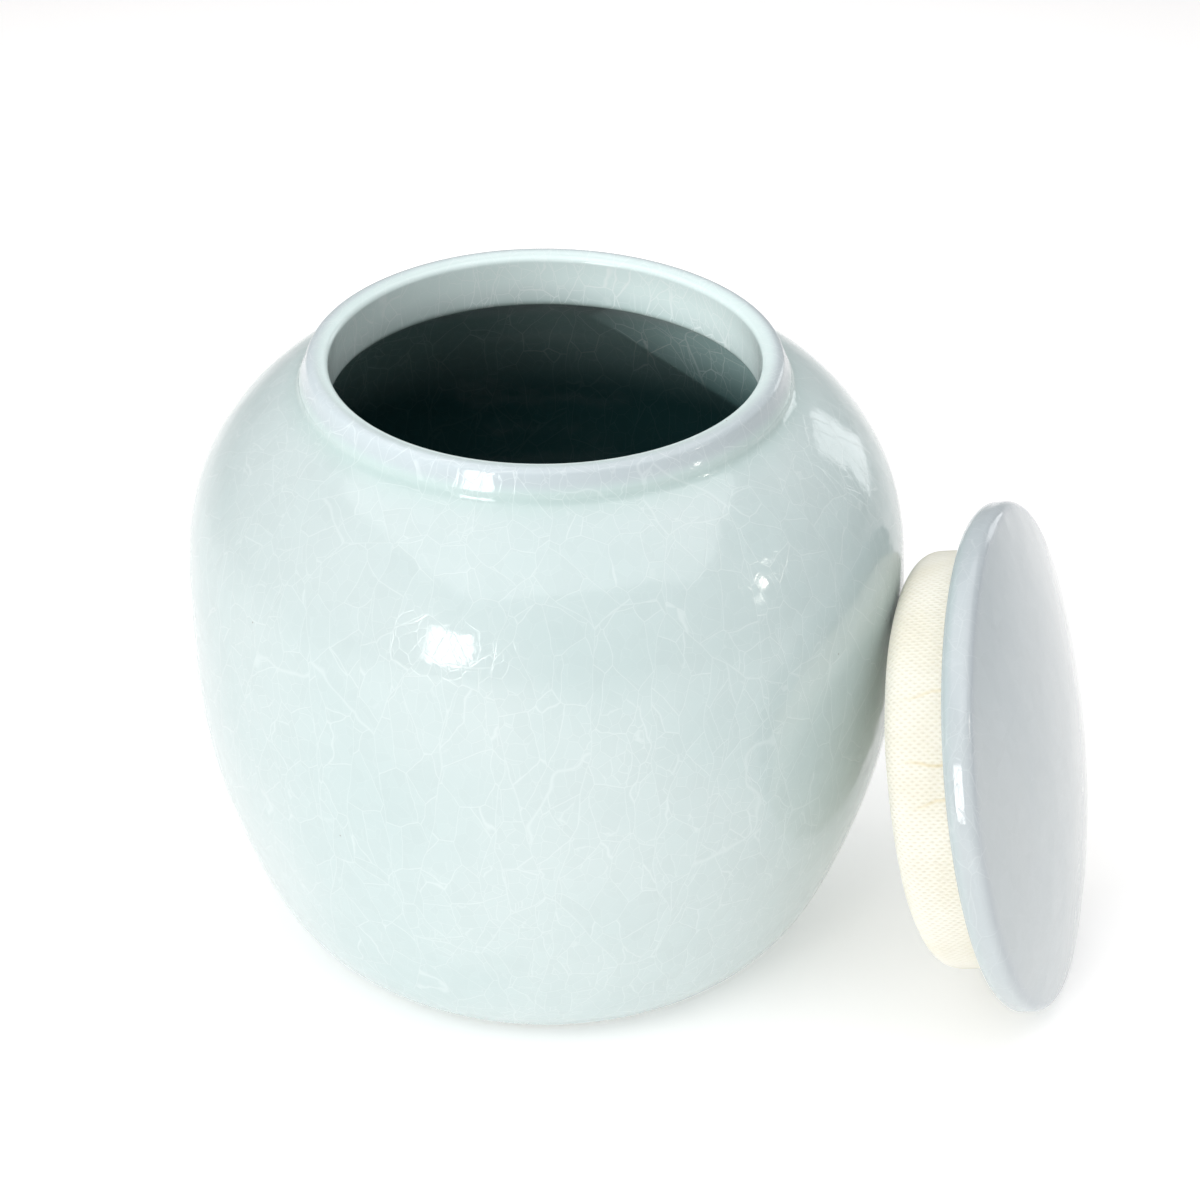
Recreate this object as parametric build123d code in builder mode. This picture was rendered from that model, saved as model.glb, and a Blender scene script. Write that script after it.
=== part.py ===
from build123d import *
import os
from math import sin, cos, radians, hypot

# Wide-mouthed celadon storage jar with a loose padded lid, in millimetres.
# Frame: +Z up along the jar's axis, origin at the centre of its foot, on the
# plane that it stands on. The lid is off and leans against the jar on the +X
# side, standing on its edge, with its padded plug against the belly. The whole
# arrangement is symmetric about the XZ plane.

# ---------------------------------------------------------------- jar
foot_ring_outer_r = 41.6      # outer edge of the ring that the jar stands on
foot_ring_inner_r = 36.4      # inner edge of that ring
foot_recess_depth = 1.8       # height of the glazed recess inside the ring
belly_r = 67.8                # widest radius of the belly
belly_z = 71.3                # height of the widest radius
rim_z = 121.5                 # top of the rolled rim
mouth_r = 40.2                # bore of the neck
neck_bore_bottom_z = 112.6    # where the bore opens into the belly

# ---------------------------------------------------------------- lid
lid_r = 48.56                 # radius over the rounded edge
edge_low_round = 2.6          # round between the seat face and the edge
edge_top_round = 2.2          # round between the edge and the dome
edge_flat_top = 4.0           # height at which the upper round starts
dome_edge_angle = 16.0        # slope of the dome where it meets the edge
spigot_r = 33.0               # locating ring under the lid, outside
spigot_inner_r = 29.0
spigot_depth = 7.0
lid_lean_deg = 12.16          # lid's axis above the horizontal
lid_seat_x = 88.77            # centre of the seat face, from the jar's axis

# ---------------------------------------------------------------- plug
plug_r = 39.87                # over the knit cover, a close fit in the mouth
plug_depth = 13.4             # below the lid's seat face
plug_edge_round = 4.6         # soft edge of the plug's end
cover_thickness = 1.1
glue_gap = 0.45               # adhesive between lid and cover
hem_inner_r = 34.3            # inner edge of the gathered hem
thread_r = 0.42               # radius of the gathering thread

# ---------------------------------------------------------------- lid's place
lean = radians(lid_lean_deg)
# The lower edge round is the lowest point of the leaning lid: it rests at Z = 0.
lid_seat_z = (lid_r - edge_low_round) * cos(lean) - edge_low_round * sin(lean) + edge_low_round
lid_seat = Vector(lid_seat_x, 0, lid_seat_z)
lid_axis_dir = Vector(cos(lean), 0, sin(lean))        # out of the domed top
lid_radial = Vector(-sin(lean), 0, cos(lean))
# Sketch plane of every lid and plug section: local x is the radius, local y
# the height above the seat face, so the plug is at negative y.
section = Plane(origin=lid_seat, x_dir=lid_radial, z_dir=(0, 1, 0))
lid_axis = Axis(lid_seat, lid_axis_dir)

# ================================================================ jar body
# One turned wall, about 4 mm thick: foot ring, rounded bottom, full belly,
# shoulder, short collar with a rolled rim, and a straight neck bore.


def on_circle(centre, radius, degrees_):
    """Point on a circle of the section, by its angle from the outward radius."""
    return (centre[0] + radius * cos(radians(degrees_)), centre[1] + radius * sin(radians(degrees_)))


# The collar's section is a chain of tangent arcs, worked out from the rim down.
rim_crown_r = 4.0             # crown of the rim
rim_inner_round = 1.1         # round into the neck bore
rim_outer_round = 1.4         # round from the rim to the collar's face
collar_slope = 28.0           # collar's face, degrees from the vertical
collar_face = 2.6             # length of that sloping face
collar_foot_round = 1.3       # widest turn of the collar
neck_fillet = 2.0             # hollow between collar and shoulder
shoulder_slope = 31.8         # shoulder's slope where it meets the hollow
crown = (mouth_r + rim_inner_round - (rim_crown_r - rim_inner_round) * cos(radians(100)), rim_z - rim_crown_r)
inner_c = on_circle(crown, rim_crown_r - rim_inner_round, 100)
outer_c = on_circle(crown, rim_crown_r - rim_outer_round, 60)
face_top = on_circle(outer_c, rim_outer_round, collar_slope)
face_foot = (
    face_top[0] + collar_face * sin(radians(collar_slope)),
    face_top[1] - collar_face * cos(radians(collar_slope)),
)
collar_c = (
    face_foot[0] - collar_foot_round * cos(radians(collar_slope)),
    face_foot[1] - collar_foot_round * sin(radians(collar_slope)),
)
neck_c = (collar_c[0] + collar_foot_round + neck_fillet, collar_c[1])
neck_foot_angle = 270 - shoulder_slope
neck_foot = on_circle(neck_c, neck_fillet, neck_foot_angle)

with BuildPart() as jar_body:
    with BuildSketch(Plane.XZ):
        with BuildLine():
            # foot: recess, ring and its outer edge
            f1 = Line((0, foot_recess_depth), (foot_ring_inner_r - 1.0, foot_recess_depth))
            f2 = CenterArc((foot_ring_inner_r - 1.0, foot_recess_depth - 1.0), 1.0, 90, -90)
            f3 = Line(f2 @ 1, (foot_ring_inner_r + 0.8, 0))
            f4 = Line(f3 @ 1, (foot_ring_outer_r, 0))
            # outer wall, foot to collar
            w1 = Spline(
                f4 @ 1, (45.9, 2.4), (50.4, 6.6), (58.6, 21.8), (65.75, 45.9),
                (belly_r, belly_z), (65.5, 94.3), (56.0, 109.2), neck_foot,
            )
            # hollow, collar and rim
            w2 = ThreePointArc(w1 @ 1, on_circle(neck_c, neck_fillet, (neck_foot_angle + 180) / 2), on_circle(neck_c, neck_fillet, 180))
            w3 = ThreePointArc(w2 @ 1, on_circle(collar_c, collar_foot_round, collar_slope / 2), face_foot)
            w4 = Line(w3 @ 1, face_top)
            w5 = ThreePointArc(w4 @ 1, on_circle(outer_c, rim_outer_round, (60 + collar_slope) / 2), on_circle(outer_c, rim_outer_round, 60))
            w6 = ThreePointArc(w5 @ 1, on_circle(crown, rim_crown_r, 80), on_circle(crown, rim_crown_r, 100))
            w7 = ThreePointArc(w6 @ 1, on_circle(inner_c, rim_inner_round, 140), on_circle(inner_c, rim_inner_round, 180))
            # neck bore and its rounded lower edge
            n1 = Line(w7 @ 1, (mouth_r, neck_bore_bottom_z))
            n2 = ThreePointArc(n1 @ 1, (40.75, 111.45), (42.3, 110.95))
            # inner wall down to the floor
            i1 = Spline(
                n2 @ 1, (52.6, 106.0), (61.6, 92.6), (63.7, 71.3),
                (61.7, 46.9), (54.6, 23.9), (43.2, 9.7), (33.0, 6.6),
            )
            i2 = Line(i1 @ 1, (0, 5.6))
            i3 = Line(i2 @ 1, f1 @ 0)
        make_face()
    revolve(axis=Axis.Z)
jar_body.part.label = "jar_body"

# ================================================================ lid
# Domed disc with a full rounded edge, a flat seat face that lands on the jar's
# rim, and a spigot ring under it. The middle is hollow under the dome.
a = radians(dome_edge_angle)
top_round_centre = (lid_r - edge_top_round, edge_flat_top)
dome_start = (
    top_round_centre[0] + edge_top_round * sin(a),
    top_round_centre[1] + edge_top_round * cos(a),
)
dome_sphere_r = dome_start[0] / sin(a)
dome_rise = dome_sphere_r * (1 - cos(a))
dome_top = dome_start[1] + dome_rise
dome_mid = (dome_sphere_r * sin(a / 2), dome_top - dome_sphere_r * (1 - cos(a / 2)))
with BuildPart() as lid_disc:
    with BuildSketch(section):
        with BuildLine():
            m1 = Line((spigot_r + 1.0, 0), (lid_r - edge_low_round, 0))
            m2 = ThreePointArc(
                m1 @ 1,
                (lid_r - edge_low_round * (1 - cos(radians(45))), edge_low_round * (1 - sin(radians(45)))),
                (lid_r, edge_low_round),
            )
            m3 = Line(m2 @ 1, (lid_r, edge_flat_top))
            m4 = ThreePointArc(
                m3 @ 1,
                (
                    top_round_centre[0] + edge_top_round * cos((radians(90) - a) / 2),
                    top_round_centre[1] + edge_top_round * sin((radians(90) - a) / 2),
                ),
                dome_start,
            )
            m5 = ThreePointArc(m4 @ 1, dome_mid, (0, dome_top))
            m6 = Line(m5 @ 1, (0, 6.6))
            m7 = Spline(
                m6 @ 1, (14.0, 5.9), (24.0, 3.2), (28.2, 0.2), (spigot_inner_r, -2.2),
                tangents=((1, 0), (0, -1)),
            )
            m8 = Line(m7 @ 1, (spigot_inner_r, -spigot_depth + 0.8))
            m9 = ThreePointArc(
                m8 @ 1,
                (spigot_inner_r + 0.8 * (1 - cos(radians(45))), -spigot_depth + 0.8 * (1 - sin(radians(45)))),
                (spigot_inner_r + 0.8, -spigot_depth),
            )
            m10 = Line(m9 @ 1, (spigot_r - 0.8, -spigot_depth))
            m11 = ThreePointArc(
                m10 @ 1,
                (spigot_r - 0.8 * (1 - cos(radians(45))), -spigot_depth + 0.8 * (1 - sin(radians(45)))),
                (spigot_r, -spigot_depth + 0.8),
            )
            m12 = Line(m11 @ 1, (spigot_r, -0.6))
            m13 = ThreePointArc(m12 @ 1, (spigot_r + 0.25, -0.15), (spigot_r + 1.0, 0))
        make_face()
    revolve(axis=lid_axis)
lid_disc.part.label = "lid_disc"

# ================================================================ plug backing
# Stiff board cemented to the end of the spigot: it keeps the plug's end flat.
board_r = 32.6
board_top = -spigot_depth
board_thickness = 2.0
with BuildPart() as plug_backing_board:
    with BuildSketch(section):
        with BuildLine():
            Polyline(
                (0, board_top), (board_r, board_top),
                (board_r, board_top - board_thickness), (0, board_top - board_thickness),
                close=True,
            )
        make_face()
    revolve(axis=lid_axis)
plug_backing_board.part.label = "plug_backing_board"

# ================================================================ plug foam
# Foam cap round the spigot and over the board: the spring of the seal.
foam_clear = 0.08
foam_r = plug_r - cover_thickness - foam_clear
foam_end = -plug_depth + cover_thickness + foam_clear
foam_top = -glue_gap - cover_thickness - foam_clear - 0.1
foam_edge_round = plug_edge_round - cover_thickness
foam_bore_r = spigot_r + 0.15
foam_floor = board_top - board_thickness - foam_clear
with BuildPart() as plug_foam_cap:
    with BuildSketch(section):
        with BuildLine():
            Line((foam_bore_r, foam_top), (foam_r, foam_top))
            Line((foam_r, foam_top), (foam_r, foam_end + foam_edge_round))
            ThreePointArc(
                (foam_r, foam_end + foam_edge_round),
                (
                    foam_r - foam_edge_round * (1 - cos(radians(45))),
                    foam_end + foam_edge_round * (1 - sin(radians(45))),
                ),
                (foam_r - foam_edge_round, foam_end),
            )
            Line((foam_r - foam_edge_round, foam_end), (0, foam_end))
            Line((0, foam_end), (0, foam_floor))
            Line((0, foam_floor), (foam_bore_r, foam_floor))
            Line((foam_bore_r, foam_floor), (foam_bore_r, foam_top))
        make_face()
    revolve(axis=lid_axis)
plug_foam_cap.part.label = "plug_foam_cap"

# ================================================================ knit cover
# Stretch knit cap drawn over the foam, turned in at the top and gathered
# against the spigot just below the lid's seat face.
side_top_round = 1.3
cover_top = -glue_gap
inner_r = plug_r - cover_thickness
inner_end = -plug_depth + cover_thickness
inner_round = plug_edge_round - cover_thickness
with BuildPart() as plug_knit_cover:
    with BuildSketch(section):
        with BuildLine():
            Line((hem_inner_r, cover_top), (plug_r - side_top_round, cover_top))
            ThreePointArc(
                (plug_r - side_top_round, cover_top),
                (
                    plug_r - side_top_round * (1 - cos(radians(45))),
                    cover_top - side_top_round * (1 - sin(radians(45))),
                ),
                (plug_r, cover_top - side_top_round),
            )
            Line((plug_r, cover_top - side_top_round), (plug_r, -plug_depth + plug_edge_round))
            ThreePointArc(
                (plug_r, -plug_depth + plug_edge_round),
                (
                    plug_r - plug_edge_round * (1 - cos(radians(45))),
                    -plug_depth + plug_edge_round * (1 - sin(radians(45))),
                ),
                (plug_r - plug_edge_round, -plug_depth),
            )
            Line((plug_r - plug_edge_round, -plug_depth), (0, -plug_depth))
            Line((0, -plug_depth), (0, inner_end))
            Line((0, inner_end), (inner_r - inner_round, inner_end))
            ThreePointArc(
                (inner_r - inner_round, inner_end),
                (
                    inner_r - inner_round * (1 - cos(radians(45))),
                    inner_end + inner_round * (1 - sin(radians(45))),
                ),
                (inner_r, inner_end + inner_round),
            )
            Line((inner_r, inner_end + inner_round), (inner_r, cover_top - cover_thickness))
            Line((inner_r, cover_top - cover_thickness), (hem_inner_r, cover_top - cover_thickness))
            Line((hem_inner_r, cover_top - cover_thickness), (hem_inner_r, cover_top))
        make_face()
    revolve(axis=lid_axis)
plug_knit_cover.part.label = "plug_knit_cover"

# ================================================================ gathering thread
# Thread drawn tight round the spigot, just inside the cover's turned-in hem.
with BuildPart() as gathering_thread:
    with BuildSketch(section):
        with Locations((spigot_r + 0.15 + thread_r, cover_top - cover_thickness / 2)):
            Circle(thread_r)
    revolve(axis=lid_axis)
gathering_thread.part.label = "gathering_thread"

# ================================================================ adhesive
# Thin ring of adhesive that bonds the turned-in hem to the lid's seat face.
with BuildPart() as adhesive_ring:
    with BuildSketch(section):
        with BuildLine():
            Polyline(
                (hem_inner_r + 0.5, 0), (plug_r - 0.9, 0),
                (plug_r - 0.9, -glue_gap), (hem_inner_r + 0.5, -glue_gap),
                close=True,
            )
        make_face()
    revolve(axis=lid_axis)
adhesive_ring.part.label = "adhesive_ring"

# ================================================================ export
os.makedirs("parts", exist_ok=True)
export_step(jar_body.part, "parts/jar_body.step")
export_step(lid_disc.part, "parts/lid_disc.step")
export_step(plug_backing_board.part, "parts/plug_backing_board.step")
export_step(plug_foam_cap.part, "parts/plug_foam_cap.step")
export_step(plug_knit_cover.part, "parts/plug_knit_cover.step")
export_step(gathering_thread.part, "parts/gathering_thread.step")
export_step(adhesive_ring.part, "parts/adhesive_ring.step")

print("seat", lid_seat, "dome top", round(dome_top, 3))
print("gap plug to jar", round(jar_body.part.distance_to(plug_knit_cover.part), 3))
print("gap lid to jar", round(jar_body.part.distance_to(lid_disc.part), 3))
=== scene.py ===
import math
import random
import bpy
import bmesh
import numpy as np
from mathutils import Vector, Matrix, noise


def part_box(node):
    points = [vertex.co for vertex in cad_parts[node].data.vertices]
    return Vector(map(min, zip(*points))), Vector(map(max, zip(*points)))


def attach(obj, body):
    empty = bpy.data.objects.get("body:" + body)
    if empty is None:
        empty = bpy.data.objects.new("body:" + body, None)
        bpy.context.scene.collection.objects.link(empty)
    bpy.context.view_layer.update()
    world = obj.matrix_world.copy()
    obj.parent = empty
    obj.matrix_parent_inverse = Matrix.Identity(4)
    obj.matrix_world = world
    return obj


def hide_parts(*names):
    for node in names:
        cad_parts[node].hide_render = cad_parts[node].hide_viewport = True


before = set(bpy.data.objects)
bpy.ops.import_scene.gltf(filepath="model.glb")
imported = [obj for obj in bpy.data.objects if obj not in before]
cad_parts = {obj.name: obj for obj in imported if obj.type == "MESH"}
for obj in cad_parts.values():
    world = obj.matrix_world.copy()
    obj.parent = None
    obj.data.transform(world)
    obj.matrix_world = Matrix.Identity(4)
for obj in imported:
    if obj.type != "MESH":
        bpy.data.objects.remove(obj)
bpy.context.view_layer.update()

MM = 0.001


# ------------------------------------------------------------------ frame
# Everything below is placed from the imported model: the jar's axis and the
# lid's seat come from the node boxes, so a changed model.glb moves the looks with it.
jar_lo, jar_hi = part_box("jar_body")
lid_lo, lid_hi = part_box("lid_disc")
AXIS_X = (jar_lo[0] + jar_hi[0]) / 2
AXIS_Y = (jar_lo[1] + jar_hi[1]) / 2
RIM_Z = jar_hi[2]
BELLY_R = (jar_hi[0] - jar_lo[0]) / 2
LID_R = (lid_hi[1] - lid_lo[1]) / 2
KJ = RIM_Z / 0.1215            # how far the jar's height is from the drawn section's

LEAN = math.radians(12.16)
lid_n = Vector((math.cos(LEAN), 0, math.sin(LEAN)))
lid_w = Vector((-math.sin(LEAN), 0, math.cos(LEAN)))
lid_u = Vector((0, 1, 0))
# seat centre: the lid's lower edge round touches Z = 0, and its dome's outer
# face is the highest X of the node's box
EDGE_LOW, EDGE_TOP = 2.6 * MM, 2.2 * MM
SEAT_Z = (LID_R - EDGE_LOW) * math.cos(LEAN) - EDGE_LOW * math.sin(LEAN) + EDGE_LOW + lid_lo[2]


# ------------------------------------------------------------------ helpers
def spline(points, n):
    """Natural cubic through points, by chord length, sampled n times."""
    p = np.array(points, float)
    t = np.r_[0, np.cumsum(np.hypot(*np.diff(p, axis=0).T))]
    m = len(t)
    h = np.diff(t)
    A = np.zeros((m, m)); R = np.zeros((m, 2))
    A[0, 0] = A[-1, -1] = 1
    for i in range(1, m - 1):
        A[i, i - 1], A[i, i], A[i, i + 1] = h[i - 1], 2 * (h[i - 1] + h[i]), h[i]
        R[i] = 3 * ((p[i + 1] - p[i]) / h[i] - (p[i] - p[i - 1]) / h[i - 1])
    c = np.linalg.solve(A, R)
    s = np.linspace(0, t[-1], n)
    k = np.clip(np.searchsorted(t, s, side="right") - 1, 0, m - 2)
    b = (p[k + 1] - p[k]) / h[k][:, None] - h[k][:, None] * (2 * c[k] + c[k + 1]) / 3
    d = (c[k + 1] - c[k]) / (3 * h[k][:, None])
    x = (s - t[k])[:, None]
    return p[k] + b * x + c[k] * x ** 2 + d * x ** 3


def arc(c, r, a0, a1, n):
    a = np.radians(np.linspace(a0, a1, n))
    return np.c_[c[0] + r * np.cos(a), c[1] + r * np.sin(a)]


def seg(a, b, n):
    t = np.linspace(0, 1, n)[:, None]
    return np.array(a, float) * (1 - t) + np.array(b, float) * t


def chain(*parts):
    """Join sampled stretches, dropping repeated points."""
    out = []
    for part in parts:
        for q in part:
            if not out or math.hypot(q[0] - out[-1][0], q[1] - out[-1][1]) > 1e-5:
                out.append((float(q[0]), float(q[1])))
    return np.array(out)


def uv_layer(mesh, name, loop_uv):
    layer = mesh.uv_layers.new(name=name)
    layer.data.foreach_set("uv", np.asarray(loop_uv, np.float32).ravel())
    return layer


def arc3(a, b, c, n):
    """Arc through three points."""
    (ax, ay), (bx, by), (cx, cy) = a, b, c
    d = 2 * (ax * (by - cy) + bx * (cy - ay) + cx * (ay - by))
    ux = ((ax ** 2 + ay ** 2) * (by - cy) + (bx ** 2 + by ** 2) * (cy - ay) + (cx ** 2 + cy ** 2) * (ay - by)) / d
    uy = ((ax ** 2 + ay ** 2) * (cx - bx) + (bx ** 2 + by ** 2) * (ax - cx) + (cx ** 2 + cy ** 2) * (bx - ax)) / d
    r = math.hypot(ax - ux, ay - uy)
    t0, t1 = math.atan2(ay - uy, ax - ux), math.atan2(cy - uy, cx - ux)
    tm = math.atan2(by - uy, bx - ux)
    while abs((t0 + t1) / 2 - tm) > math.pi / 2:
        t1 += 2 * math.pi if t1 < tm else -2 * math.pi
    t = np.linspace(t0, t1, n)
    return np.c_[ux + r * np.cos(t), uy + r * np.sin(t)]


def smooth(a, b, x):
    t = np.clip((np.asarray(x, float) - a) / (b - a), 0, 1)
    return t * t * (3 - 2 * t)


def make(name, verts, faces, loop_uv=None, attrs=None, uvname="OFBake"):
    """A smooth-shaded mesh object with its own UVs and per-point values."""
    mesh = bpy.data.meshes.new(name)
    mesh.from_pydata([tuple(v) for v in np.asarray(verts, float)], [], faces)
    if loop_uv is not None:
        layer = mesh.uv_layers.new(name=uvname)
        layer.data.foreach_set("uv", np.asarray(loop_uv, np.float32).ravel())
    for key, val in (attrs or {}).items():
        a = mesh.attributes.new(key, "FLOAT", "POINT")
        a.data.foreach_set("value", np.asarray(val, np.float32))
    mesh.polygons.foreach_set("use_smooth", [True] * len(mesh.polygons))
    mesh.update()
    bm = bmesh.new(); bm.from_mesh(mesh)
    bmesh.ops.recalc_face_normals(bm, faces=bm.faces)
    bm.to_mesh(mesh); bm.free()
    mesh.update()
    obj = bpy.data.objects.new(name, mesh)
    bpy.context.scene.collection.objects.link(obj)
    return obj


def lathe(name, prof, nseg, place, wobble=None, attrs=None, vmap=None, closed=False):
    """Closed solid of revolution. prof is (radius, height), from the axis back
    to the axis, or a closed loop away from it. place(r, h, theta) gives the
    point, wobble(r, h, theta) an offset of (radius, height), attrs values per
    profile point, vmap the share of the texture's height per profile point."""
    prof = np.asarray(prof, float)
    n = len(prof)
    start_pole = prof[0, 0] < 1e-6
    end_pole = prof[-1, 0] < 1e-6
    lo = 1 if start_pole else 0
    hi = n - 1 if end_pole else n
    ring = prof[lo:hi]
    th = np.linspace(0, 2 * np.pi, nseg, endpoint=False)
    R, T = np.meshgrid(np.arange(len(ring)), th, indexing="ij")
    rr = ring[:, 0][R]; hh = ring[:, 1][R]
    if wobble is not None:
        dr, dh = wobble(rr, hh, T)
        rr = rr + dr; hh = hh + dh
    P = place(rr, hh, T).reshape(-1, 3)
    verts = [P]
    nr = len(ring)
    step = np.r_[0, np.cumsum(np.hypot(*np.diff(prof, axis=0).T))]
    v = step / step[-1] if vmap is None else np.asarray(vmap, float)
    if closed:
        v = v * (nr - 1) / nr
    faces = []; uv = []
    for i in range(nr if closed else nr - 1):
        k0, k1 = i * nseg, ((i + 1) % nr) * nseg
        v0 = v[i + lo]; v1 = v[i + 1 + lo] if i + 1 < nr else 1.0
        for j in range(nseg):
            jn = (j + 1) % nseg
            faces.append((k0 + j, k0 + jn, k1 + jn, k1 + j))
            uv += [(j / nseg, v0), ((j + 1) / nseg, v0), ((j + 1) / nseg, v1), (j / nseg, v1)]
    count = len(P)
    vals = {k: [np.repeat(np.asarray(a, float)[lo:hi], nseg)] for k, a in (attrs or {}).items()}
    for pole, pi, ki in ((start_pole, 0, 0), (end_pole, n - 1, nr - 1)):
        if not pole or closed:
            continue
        zero = np.array([0.0])
        verts.append(place(zero, np.array([prof[pi, 1]]), zero).reshape(1, 3))
        for k in vals:
            vals[k].append(np.asarray(attrs[k], float)[pi:pi + 1])
        near = v[lo] if pi == 0 else v[hi - 1]
        for j in range(nseg):
            jn = (j + 1) % nseg
            faces.append((count, ki * nseg + jn, ki * nseg + j))
            uv += [((j + 0.5) / nseg, v[pi]), ((j + 1) / nseg, near), (j / nseg, near)]
        count += 1
    return make(name, np.vstack(verts), faces, uv, {k: np.concatenate(a) for k, a in vals.items()})


# ------------------------------------------------------------------ shader nodes
class Net:
    """Short names for the shader nodes of one material."""

    def __init__(self, name):
        self.mat = bpy.data.materials.new(name)
        self.mat.use_nodes = True
        self.t = self.mat.node_tree
        self.t.nodes.clear()
        self.out = self.t.nodes.new("ShaderNodeOutputMaterial")
        self.b = self.t.nodes.new("ShaderNodeBsdfPrincipled")
        self.t.links.new(self.b.outputs[0], self.out.inputs[0])

    def put(self, sock, val):
        if isinstance(val, bpy.types.NodeSocket):
            self.t.links.new(val, sock)
        elif isinstance(val, (tuple, list)) and sock.type == "RGBA":
            sock.default_value = tuple(val) + ((1,) if len(val) == 3 else ())
        else:
            sock.default_value = val

    def set(self, **kw):
        for k, val in kw.items():
            self.put(self.b.inputs[k.replace("_", " ")], val)

    def math(self, op, a, b=0.0, c=None, clamp=False):
        n = self.t.nodes.new("ShaderNodeMath"); n.operation = op; n.use_clamp = clamp
        self.put(n.inputs[0], a); self.put(n.inputs[1], b)
        if c is not None:
            self.put(n.inputs[2], c)
        return n.outputs[0]

    def vmath(self, op, a, b=None, scale=None):
        n = self.t.nodes.new("ShaderNodeVectorMath"); n.operation = op
        self.put(n.inputs[0], a)
        if b is not None:
            self.put(n.inputs[1], b)
        if scale is not None:
            self.put(n.inputs["Scale"], scale)
        return n.outputs["Value"] if op in ("DOT_PRODUCT", "LENGTH") else n.outputs[0]

    def mix(self, fac, a, b, blend="MIX"):
        n = self.t.nodes.new("ShaderNodeMix"); n.data_type = "RGBA"; n.blend_type = blend
        self.put(n.inputs[0], fac); self.put(n.inputs[6], a); self.put(n.inputs[7], b)
        return n.outputs[2]

    def range(self, val, a, b, c=0.0, d=1.0, kind="SMOOTHSTEP"):
        n = self.t.nodes.new("ShaderNodeMapRange"); n.interpolation_type = kind
        self.put(n.inputs[0], val)
        for i, x in zip((1, 2, 3, 4), (a, b, c, d)):
            self.put(n.inputs[i], x)
        return n.outputs[0]

    def noise(self, vec, scale, detail=3.0, rough=0.55, color=False):
        n = self.t.nodes.new("ShaderNodeTexNoise")
        self.put(n.inputs["Vector"], vec); self.put(n.inputs["Scale"], scale)
        self.put(n.inputs["Detail"], detail); self.put(n.inputs["Roughness"], rough)
        return n.outputs[1] if color else n.outputs[0]

    def voronoi(self, vec, feature="F1", out="Distance", scale=1.0, rnd=1.0):
        n = self.t.nodes.new("ShaderNodeTexVoronoi"); n.feature = feature
        self.put(n.inputs["Vector"], vec); self.put(n.inputs["Scale"], scale)
        self.put(n.inputs["Randomness"], rnd)
        return n.outputs[out]

    def sep(self, vec):
        n = self.t.nodes.new("ShaderNodeSeparateXYZ"); self.put(n.inputs[0], vec)
        return n.outputs

    def attr(self, name):
        n = self.t.nodes.new("ShaderNodeAttribute"); n.attribute_name = name
        return n.outputs["Fac"]

    def place_mm(self):
        """Position on the object, in millimetres of the frame at rest."""
        n = self.t.nodes.new("ShaderNodeTexCoord")
        return self.vmath("SCALE", n.outputs["Object"], scale=1000.0)

    def bump(self, height, dist, strength=1.0, after=None):
        n = self.t.nodes.new("ShaderNodeBump")
        self.put(n.inputs["Height"], height)
        n.inputs["Distance"].default_value = dist
        n.inputs["Strength"].default_value = strength
        if after is not None:
            self.put(n.inputs["Normal"], after)
        return n.outputs[0]


def cracks(N, p, cell, width, swing=0.0, swing_cell=20.0, stretch=(1, 1, 1), seed=0.0, inside=None):
    """One generation of crazing: walls between Voronoi cells of about cell mm.
    inside is the parent cells' random colour, so that a crack of this
    generation stops at its parents' cracks. Returns (line, cell colour)."""
    q = p
    if swing:
        d = N.noise(N.vmath("ADD", q, (seed * 3.1, seed, -seed)), 1.0 / swing_cell, 2.0, 0.5, color=True)
        d = N.vmath("SCALE", N.vmath("SUBTRACT", d, (0.5, 0.5, 0.5)), scale=swing * 2)
        q = N.vmath("ADD", q, d)
    q = N.vmath("MULTIPLY", q, tuple(s / cell for s in stretch))
    q = N.vmath("ADD", q, (seed * 7.7, -seed * 3.3, seed * 5.1))
    if inside is not None:
        q = N.vmath("ADD", q, N.vmath("SCALE", inside, scale=43.0))
    dist = N.voronoi(q, "DISTANCE_TO_EDGE")
    col = N.voronoi(q, "F1", "Color")
    line = N.range(dist, 0.0, width / cell, 1.0, 0.0)
    return line, col


# ------------------------------------------------------------------ light levels
# (name, azimuth, elevation, distance, width, height, radiance, colour, in reflections)
FLOOR_GLOW = 0.28
WORLD = (0.985, 0.99, 1.0, 0.37)
LIGHTS = [
    ("softbox_front_left", -106, 13, 1.25, 0.31, 0.46, 8.4, (1.0, 0.99, 0.98), True),
    ("ceiling_panel", -60, 86, 1.05, 1.7, 1.7, 1.2, (1.0, 0.98, 0.985), True),
    ("window_back_right", 62, 8, 1.3, 0.34, 0.60, 1.9, (0.97, 0.99, 1.0), True),
    ("small_right", -2, 21, 1.5, 0.09, 0.14, 20.0, (1.0, 0.93, 0.84), True),
    ("small_right_upper", 5, 28, 1.5, 0.05, 0.05, 18.0, (1.0, 0.94, 0.86), True),
    ("small_right_lower", -7, 16, 1.5, 0.04, 0.07, 14.0, (1.0, 0.95, 0.88), True),
    ("fill_left_high", -112, 40, 1.6, 0.9, 0.8, 2.4, (1.0, 0.995, 0.99), False),
    ("fill_left_low", -120, 8, 1.6, 0.9, 0.8, 0.15, (1.0, 1.0, 1.0), False),
    ("fill_front_low", -84, 12, 1.6, 0.9, 0.8, 0.36, (1.0, 1.0, 1.0), False),
    ("fill_side_high", -160, 40, 1.6, 0.9, 0.8, 0.1, (1.0, 1.0, 1.0), False),
]

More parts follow.
